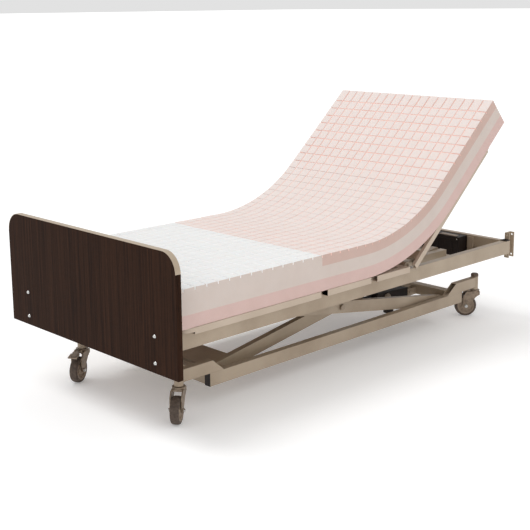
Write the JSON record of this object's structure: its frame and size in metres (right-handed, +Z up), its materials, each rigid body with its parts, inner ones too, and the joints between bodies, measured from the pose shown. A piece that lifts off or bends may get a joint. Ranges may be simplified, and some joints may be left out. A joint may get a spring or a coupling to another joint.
{
  "type": "adjustable care bed",
  "caption": "Electric care bed on casters: crossed lifting arms raise a steel frame, the deck folds in hinged sections, dark foot board and cut foam mattress.",
  "frame": {"origin": "on the floor, at the centre of the whole bed's box at rest", "axes": "+X towards the head end, +Y towards the patient's right, +Z up"},
  "size_m": [2.102, 1.01, 1.015],
  "materials": {
    "frame_enamel": "satin champagne powder coat",
    "arm_enamel": "satin champagne powder coat",
    "black_plastic": "matt",
    "zinc_plate": "bright zinc plate",
    "foam": "cut foam",
    "wenge_laminate": "fine vertical wenge grain, satin",
    "edge_band": "satin champagne edge band",
    "caster_metal": "zinc, warm grey",
    "wheel_rubber": "dark grey rubber"
  },
  "bodies": {
    "chassis": {"chassis_rail_left": "frame_enamel", "chassis_rail_right": "frame_enamel", "chassis_step_tubes": "frame_enamel", "chassis_cross_tubes": "arm_enamel", "caster_sleeves": "frame_enamel", "chassis_caps": "black_plastic", "lower_pivot_brackets": "frame_enamel", "lower_tracks": "arm_enamel", "lift_motor_bracket": "frame_enamel"},
    "inner_arm": {"inner_arms": "arm_enamel", "torsion_beam": "frame_enamel", "lift_lever": "frame_enamel", "inner_arm_pins": "zinc_plate"},
    "outer_arm": {"outer_arms": "frame_enamel", "outer_arm_tube": "arm_enamel", "outer_arm_pins": "zinc_plate"},
    "upper_roller": {"upper_rollers": "wheel_rubber"},
    "lower_roller": {"lower_rollers": "wheel_rubber"},
    "bed_frame": {"frame_rail_left": "frame_enamel", "frame_rail_right": "frame_enamel", "frame_cross_tubes": "arm_enamel", "corner_brackets": "frame_enamel", "foot_board": "wenge_laminate", "board_edge_band": "edge_band", "board_bolts": "zinc_plate", "upper_pivot_brackets": "frame_enamel", "upper_tracks": "arm_enamel", "pole_sockets": "black_plastic", "seat_frame": "frame_enamel", "hinge_blocks": "frame_enamel", "control_box": "black_plastic", "control_box_strap": "frame_enamel", "back_motor": "black_plastic", "thigh_motor": "black_plastic", "motor_brackets": "frame_enamel", "mattress_seat": "foam"},
    "back_section": {"back_frame": "frame_enamel", "back_slats": "arm_enamel", "back_lever": "frame_enamel", "mattress_back_part": "foam"},
    "thigh_section": {"thigh_frame": "frame_enamel", "thigh_lever": "frame_enamel", "knee_pins": "zinc_plate", "mattress_thigh": "foam"},
    "leg_section": {"leg_frame": "frame_enamel", "mattress_leg": "foam"},
    "lift_drive": {"lift_motor": "black_plastic"},
    "lift_spindle": {"lift_rod": "zinc_plate"},
    "back_spindle": {"back_rod": "zinc_plate"},
    "thigh_spindle": {"thigh_rod": "zinc_plate"},
    "fork_foot_left": {"fork_foot_left": "caster_metal"},
    "wheel_foot_left": {"wheel_foot_left": "wheel_rubber"},
    "fork_foot_right": {"fork_foot_right": "caster_metal"},
    "wheel_foot_right": {"wheel_foot_right": "wheel_rubber"},
    "fork_head_left": {"fork_head_left": "caster_metal"},
    "wheel_head_left": {"wheel_head_left": "wheel_rubber"},
    "fork_head_right": {"fork_head_right": "caster_metal"},
    "wheel_head_right": {"wheel_head_right": "wheel_rubber"},
    "pedal_foot_right": {"pedal_foot_right": "caster_metal"},
    "pedal_head_left": {"pedal_head_left": "caster_metal"}
  },
  "joints": [
    {"name": "lift", "type": "hinge", "parent": "chassis", "child": "inner_arm", "pos_m": [-0.669, 0, 0.114], "axis": [0, -1, 0], "range_deg": [0, 18]},
    {"name": "scissor", "type": "hinge", "parent": "inner_arm", "child": "outer_arm", "pos_m": [-0.00472, 0, 0.222], "axis": [0, -1, 0], "range_deg": [-36, 0]},
    {"name": "frame_level", "type": "hinge", "parent": "outer_arm", "child": "bed_frame", "pos_m": [-0.669, 0, 0.33], "axis": [0, -1, 0], "range_deg": [0, 18]},
    {"name": "upper_roller_spin", "type": "hinge", "parent": "inner_arm", "child": "upper_roller", "pos_m": [0.65956, 0, 0.33], "axis": [0, 1, 0], "continuous": true},
    {"name": "lower_roller_spin", "type": "hinge", "parent": "outer_arm", "child": "lower_roller", "pos_m": [0.65956, 0, 0.114], "axis": [0, 1, 0], "continuous": true},
    {"name": "lift_drive_swing", "type": "hinge", "parent": "chassis", "child": "lift_drive", "pos_m": [0.643, -0.1, 0.125], "axis": [0, -1, 0], "range_deg": [-18, 0]},
    {"name": "lift_drive_slide", "type": "slide", "parent": "lift_drive", "child": "lift_spindle", "axis": [-0.9984, 0, 0.0564], "range_m": [0, 0.078]},
    {"name": "back_raise", "type": "hinge", "parent": "bed_frame", "child": "back_section", "pos_m": [0.288, 0, 0.361], "axis": [0, -1, 0], "range_deg": [-41.7, 28.3]},
    {"name": "back_drive_slide", "type": "slide", "parent": "bed_frame", "child": "back_spindle", "axis": [1, 0, 0], "range_m": [-0.081, 0.055]},
    {"name": "thigh_raise", "type": "hinge", "parent": "bed_frame", "child": "thigh_section", "pos_m": [0.008, 0, 0.361], "axis": [0, 1, 0], "range_deg": [0, 35]},
    {"name": "leg_follow", "type": "hinge", "parent": "thigh_section", "child": "leg_section", "pos_m": [-0.279, 0, 0.361], "axis": [0, 1, 0], "range_deg": [-48.5, 0]},
    {"name": "thigh_drive_slide", "type": "slide", "parent": "bed_frame", "child": "thigh_spindle", "axis": [-1, 0, 0], "range_m": [0, 0.0537]},
    {"name": "swivel_foot_left", "type": "hinge", "parent": "chassis", "child": "fork_foot_left", "pos_m": [-0.877, -0.296, 0.15], "axis": [0, 0, 1], "continuous": true},
    {"name": "roll_foot_left", "type": "hinge", "parent": "fork_foot_left", "child": "wheel_foot_left", "pos_m": [-0.90852, -0.32063, 0.05], "axis": [0.6157, -0.788, 0], "continuous": true},
    {"name": "swivel_foot_right", "type": "hinge", "parent": "chassis", "child": "fork_foot_right", "pos_m": [-0.877, 0.296, 0.15], "axis": [0, 0, 1], "continuous": true},
    {"name": "roll_foot_right", "type": "hinge", "parent": "fork_foot_right", "child": "wheel_foot_right", "pos_m": [-0.91164, 0.276, 0.05], "axis": [0.5, -0.866, 0], "continuous": true},
    {"name": "brake_foot_right", "type": "hinge", "parent": "fork_foot_right", "child": "pedal_foot_right", "pos_m": [-0.90471, 0.28, 0.119], "axis": [0.5, -0.866, 0], "range_deg": [0, 9]},
    {"name": "swivel_head_left", "type": "hinge", "parent": "chassis", "child": "fork_head_left", "pos_m": [0.893, -0.296, 0.15], "axis": [0, 0, 1], "continuous": true},
    {"name": "roll_head_left", "type": "hinge", "parent": "fork_head_left", "child": "wheel_head_left", "pos_m": [0.86423, -0.26821, 0.05], "axis": [-0.6947, -0.7193, 0], "continuous": true},
    {"name": "brake_head_left", "type": "hinge", "parent": "fork_head_left", "child": "pedal_head_left", "pos_m": [0.86998, -0.27377, 0.119], "axis": [-0.6947, -0.7193, 0], "range_deg": [0, 9]},
    {"name": "swivel_head_right", "type": "hinge", "parent": "chassis", "child": "fork_head_right", "pos_m": [0.893, 0.296, 0.15], "axis": [0, 0, 1], "continuous": true},
    {"name": "roll_head_right", "type": "hinge", "parent": "fork_head_right", "child": "wheel_head_right", "pos_m": [0.85541, 0.30968, 0.05], "axis": [-0.342, -0.9397, 0], "continuous": true}
  ],
  "couplings": [
    {"joint": "scissor", "follows": "lift", "ratio": -2},
    {"joint": "frame_level", "follows": "lift", "ratio": 1},
    {"joint": "lift_drive_swing", "follows": "lift", "ratio": -0.9953},
    {"joint": "lift_drive_slide", "follows": "lift", "m_per_rad": 0.2451},
    {"joint": "back_drive_slide", "follows": "back_raise", "m_per_rad": 0.111},
    {"joint": "leg_follow", "follows": "thigh_raise", "ratio": -1.385},
    {"joint": "thigh_drive_slide", "follows": "thigh_raise", "m_per_rad": 0.0877}
  ]
}
